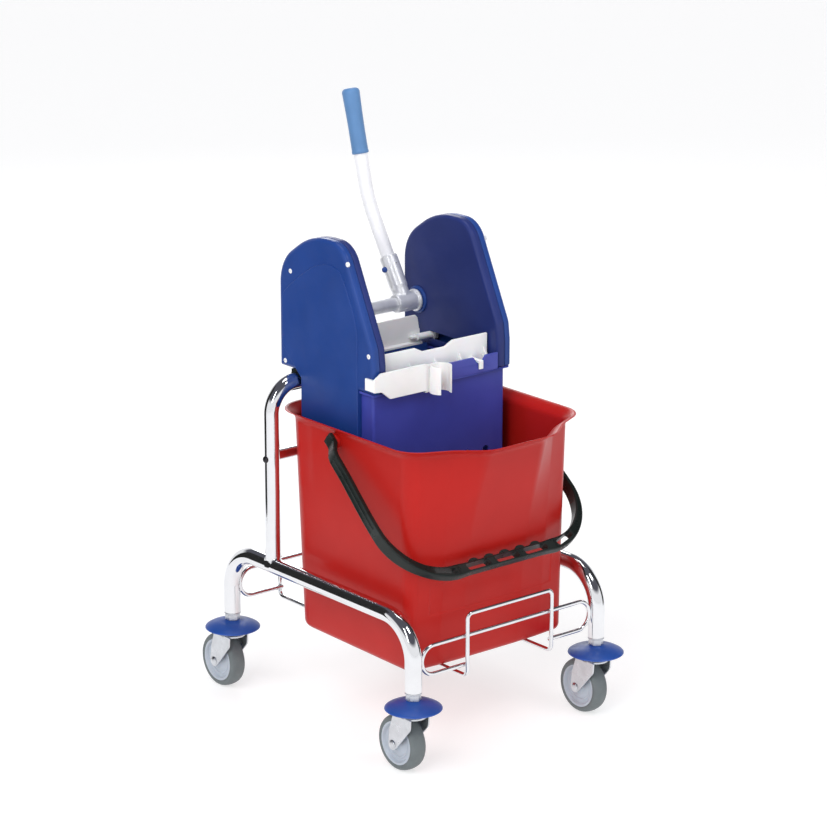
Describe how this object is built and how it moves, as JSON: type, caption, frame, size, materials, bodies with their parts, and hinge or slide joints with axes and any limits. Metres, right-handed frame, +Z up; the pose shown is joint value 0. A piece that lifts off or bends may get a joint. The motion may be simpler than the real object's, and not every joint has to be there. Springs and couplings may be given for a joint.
{
  "type": "mop bucket trolley with wringer",
  "caption": "Wheeled mop bucket on a chromed tube frame, with a bail handle and a lever-operated jaw wringer hung on a hoop over the bucket.",
  "frame": {"origin": "on the floor, below the middle of the trolley's outer box", "axes": "+X forward towards the free end of the bucket, +Y to the left, +Z up"},
  "size_m": [0.516, 0.416, 0.8571],
  "materials": {
    "chrome_tube": "polished",
    "chrome_wire": "polished",
    "dark_screw": "satin",
    "zinc": "satin",
    "blue_bumper": "satin",
    "hub_plastic": "matte",
    "tyre_rubber": "matte",
    "red_plastic": "satin",
    "black_plastic": "satin",
    "blue_plastic": "satin",
    "white_cap": "matte",
    "white_plastic": "satin",
    "aluminium": "cast satin",
    "white_paint": "gloss",
    "grip_plastic": "satin",
    "grey_nylon": "matte"
  },
  "bodies": {
    "frame": {"side_frame_left": "chrome_tube", "side_frame_right": "chrome_tube", "wringer_hoop": "chrome_tube", "hoop_crossbar": "chrome_tube", "hoop_screws": "dark_screw", "front_rack": "chrome_wire", "rear_rack": "chrome_wire", "cradle_wire": "chrome_wire", "leg_plugs": "zinc", "stem_nuts": "zinc", "bumper_front_left": "blue_bumper", "bumper_front_right": "blue_bumper", "bumper_rear_left": "blue_bumper", "bumper_rear_right": "blue_bumper", "castor_head_front_left": "zinc", "castor_head_front_right": "zinc", "castor_head_rear_left": "zinc", "castor_head_rear_right": "zinc", "bucket": "red_plastic", "bail_studs": "red_plastic"},
    "castor_front_left": {"fork_front_left": "zinc", "wheel_axle_front_left": "zinc"},
    "wheel_front_left": {"wheel_hub_front_left": "hub_plastic", "tyre_front_left": "tyre_rubber"},
    "castor_front_right": {"fork_front_right": "zinc", "wheel_axle_front_right": "zinc"},
    "wheel_front_right": {"wheel_hub_front_right": "hub_plastic", "tyre_front_right": "tyre_rubber"},
    "castor_rear_left": {"fork_rear_left": "zinc", "wheel_axle_rear_left": "zinc"},
    "wheel_rear_left": {"wheel_hub_rear_left": "hub_plastic", "tyre_rear_left": "tyre_rubber"},
    "castor_rear_right": {"fork_rear_right": "zinc", "wheel_axle_rear_right": "zinc"},
    "wheel_rear_right": {"wheel_hub_rear_right": "hub_plastic", "tyre_rear_right": "tyre_rubber"},
    "bail": {"bail": "black_plastic"},
    "wringer": {"wringer_basket": "blue_plastic", "housing_left": "blue_plastic", "housing_right": "blue_plastic", "cover_left": "blue_plastic", "cover_right": "blue_plastic", "cover_screws": "white_cap", "axle_bush_left": "blue_plastic", "axle_bush_right": "blue_plastic", "hoop_saddle_left": "black_plastic", "hoop_saddle_right": "black_plastic", "front_jaw": "white_plastic", "pole_clip": "white_plastic"},
    "lever": {"lever_axle": "aluminium", "lever_tee": "aluminium", "lever_tube": "white_paint", "lever_button": "blue_plastic", "lever_grip": "grip_plastic", "lever_cam_left": "grey_nylon", "lever_cam_right": "grey_nylon"},
    "jaw": {"rear_jaw": "white_plastic", "press_plate": "blue_plastic", "jaw_arm_left": "grey_nylon", "jaw_arm_right": "grey_nylon"}
  },
  "joints": [
    {"name": "swivel_front_left", "type": "hinge", "parent": "frame", "child": "castor_front_left", "pos_m": [0.218, 0.168, 0.086], "axis": [0, 0, 1], "continuous": true},
    {"name": "wheel_front_left", "type": "hinge", "parent": "castor_front_left", "child": "wheel_front_left", "pos_m": [0.194, 0.168, 0.04], "axis": [0, 1, 0], "continuous": true},
    {"name": "swivel_front_right", "type": "hinge", "parent": "frame", "child": "castor_front_right", "pos_m": [0.218, -0.168, 0.086], "axis": [0, 0, 1], "continuous": true},
    {"name": "wheel_front_right", "type": "hinge", "parent": "castor_front_right", "child": "wheel_front_right", "pos_m": [0.194, -0.168, 0.04], "axis": [0, 1, 0], "continuous": true},
    {"name": "swivel_rear_left", "type": "hinge", "parent": "frame", "child": "castor_rear_left", "pos_m": [-0.194, 0.168, 0.086], "axis": [0, 0, 1], "continuous": true},
    {"name": "wheel_rear_left", "type": "hinge", "parent": "castor_rear_left", "child": "wheel_rear_left", "pos_m": [-0.218, 0.168, 0.04], "axis": [0, 1, 0], "continuous": true},
    {"name": "swivel_rear_right", "type": "hinge", "parent": "frame", "child": "castor_rear_right", "pos_m": [-0.194, -0.168, 0.086], "axis": [0, 0, 1], "continuous": true},
    {"name": "wheel_rear_right", "type": "hinge", "parent": "castor_rear_right", "child": "wheel_rear_right", "pos_m": [-0.218, -0.168, 0.04], "axis": [0, 1, 0], "continuous": true},
    {"name": "bail_hinge", "type": "hinge", "parent": "frame", "child": "bail", "pos_m": [0.023, 0, 0.425], "axis": [0, -1, 0], "range_deg": [0, 98]},
    {"name": "wringer_lift", "type": "slide", "parent": "frame", "child": "wringer", "axis": [0, 0, 1], "range_m": [0, 0.2]},
    {"name": "lever_hinge", "type": "hinge", "parent": "wringer", "child": "lever", "pos_m": [-0.096, 0, 0.562], "axis": [0, 1, 0], "range_deg": [0, 80]},
    {"name": "jaw_slide", "type": "slide", "parent": "wringer", "child": "jaw", "axis": [1, 0, 0], "range_m": [0, 0.0601]}
  ],
  "couplings": [
    {"joint": "jaw_slide", "follows": "lever_hinge", "m_per_rad": 0.042972}
  ]
}
